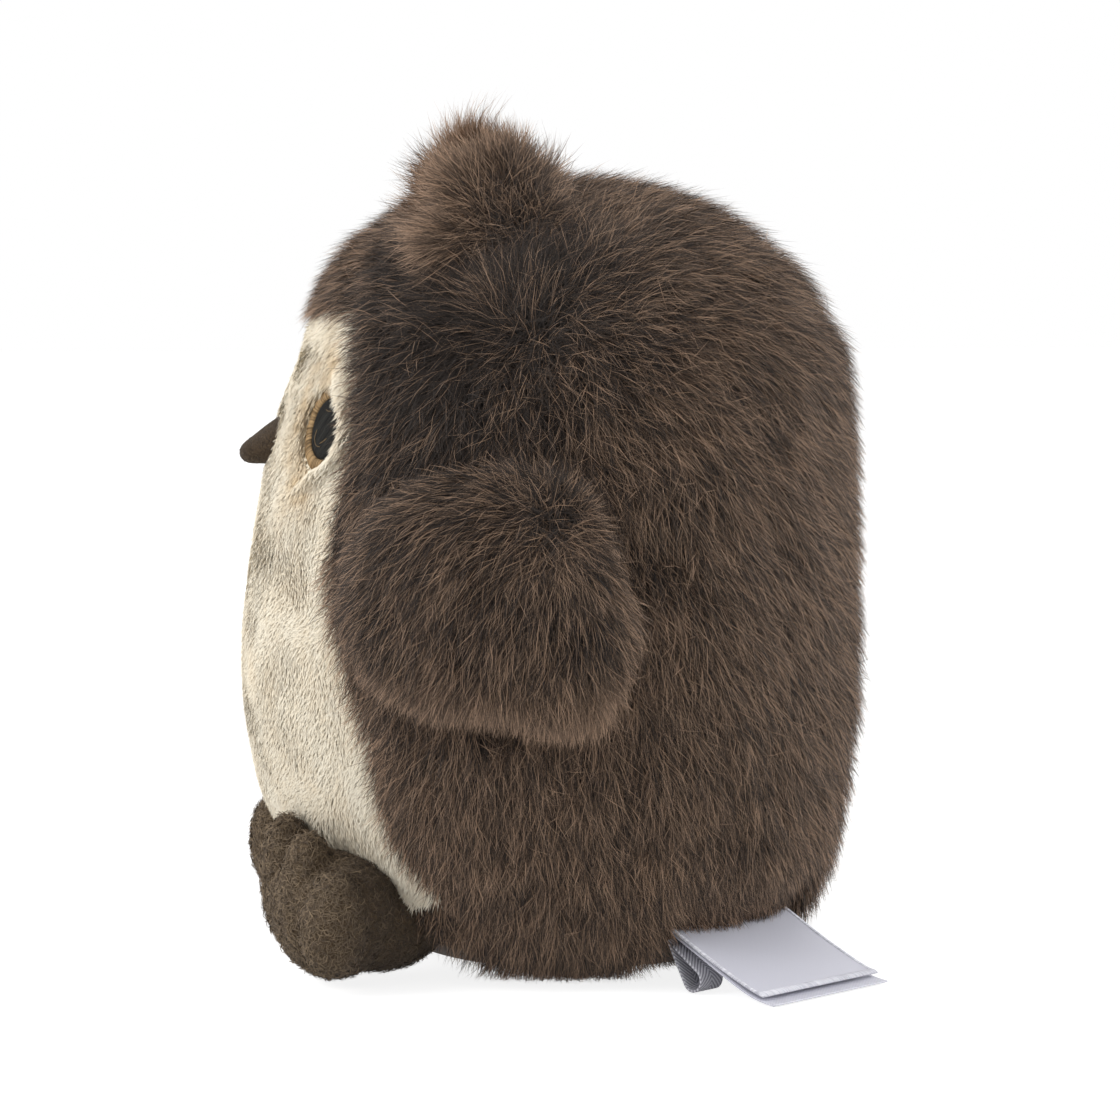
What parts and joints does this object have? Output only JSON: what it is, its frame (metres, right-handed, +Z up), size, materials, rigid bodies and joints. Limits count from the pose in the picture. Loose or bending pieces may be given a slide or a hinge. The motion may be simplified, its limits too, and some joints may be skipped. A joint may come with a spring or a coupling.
{
  "type": "plush owl",
  "caption": "Round plush owl sitting upright: long brown fur, cream face and belly, ear tufts, flap wings, felt feet and beak, ribbon label.",
  "frame": {"origin": "on the table under the middle of the owl's bounding box", "axes": "+Z up; the owl looks along -Y and its left wing is at +X"},
  "size_m": [0.17, 0.144, 0.195],
  "materials": {
    "brown_fur": "long pile, matt",
    "cream_plush": "short pile, matt",
    "base_cloth": "short pile, matt",
    "felt": "felt, matt",
    "beak_felt": "felt, matt",
    "tan_thread": "satin stitch",
    "black_thread": "satin stitch",
    "satin": "satin weave",
    "tape": "herringbone weave",
    "wadding": "fibre wadding",
    "pellets": "pellets in a cloth pouch"
  },
  "bodies": {
    "torso": {"stuffing_core": "wadding", "bean_pouch": "pellets", "face_belly_panel": "cream_plush", "base_panel": "base_cloth", "beak_skin": "beak_felt", "beak_fill": "wadding", "label_loop": "tape", "head_panel_left": "brown_fur", "head_panel_right": "brown_fur", "body_panel_left": "brown_fur", "body_panel_right": "brown_fur", "tuft_left": "brown_fur", "tuft_right": "brown_fur", "foot_skin_left": "felt", "foot_skin_right": "felt", "foot_fill_left": "wadding", "foot_fill_right": "wadding", "eye_ring_left": "tan_thread", "eye_ring_right": "tan_thread", "eye_pupil_left": "black_thread", "eye_pupil_right": "black_thread"},
    "wing_left": {"wing_outer_left": "brown_fur", "wing_wadding_left": "wadding", "wing_lining_left": "brown_fur"},
    "wing_right": {"wing_outer_right": "brown_fur", "wing_wadding_right": "wadding", "wing_lining_right": "brown_fur"},
    "label_flap": {"label_ribbon": "satin"}
  },
  "joints": [
    {"name": "wing_left_lift", "type": "hinge", "parent": "torso", "child": "wing_left", "pos_m": [0.0705, -0.0175, 0.1205], "axis": [-0.158, -0.9874, 0], "range_deg": [0, 70]},
    {"name": "wing_right_lift", "type": "hinge", "parent": "torso", "child": "wing_right", "pos_m": [-0.0705, -0.0175, 0.1205], "axis": [-0.158, 0.9874, 0], "range_deg": [0, 70]},
    {"name": "label_lift", "type": "hinge", "parent": "torso", "child": "label_flap", "pos_m": [0.04039, 0.03758, 0.0136], "axis": [0.6561, -0.7547, 0], "range_deg": [0, 25]}
  ]
}
